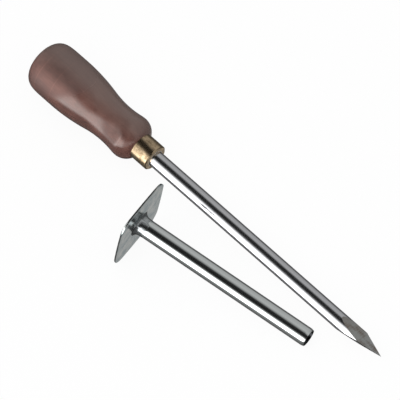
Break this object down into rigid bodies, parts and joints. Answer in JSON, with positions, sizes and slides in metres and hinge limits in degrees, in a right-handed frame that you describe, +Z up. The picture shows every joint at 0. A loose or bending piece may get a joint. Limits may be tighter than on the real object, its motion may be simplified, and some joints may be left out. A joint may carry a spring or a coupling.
{
  "type": "trocar and cannula",
  "caption": "Cattle trocar: steel rod with a three-sided point, turned wooden handle and brass ferrule, with its loose steel cannula lying beside it.",
  "frame": {"origin": "on the surface that both pieces lie on, under the middle of the pair's box", "axes": "+X from the handle to the point, +Y from the cannula towards the trocar, +Z up"},
  "size_m": [0.3023, 0.0879, 0.0505],
  "materials": {
    "handle_wood": "oiled and worn",
    "ferrule_brass": "polished",
    "rod_steel": "polished",
    "tube_plated": "bright plated",
    "flange_plated": "satin plated",
    "solder": "as run"
  },
  "bodies": {
    "trocar": {"handle": "handle_wood", "ferrule": "ferrule_brass", "trocar_rod": "rod_steel"},
    "cannula": {"cannula_tube": "tube_plated", "cannula_flange": "flange_plated", "solder_fillet": "solder"}
  },
  "joints": [
    {"name": "cannula_slide", "type": "slide", "parent": "trocar", "child": "cannula", "axis": [-0.9716, -0.1836, 0.1495], "range_m": [0, 0.2]}
  ]
}
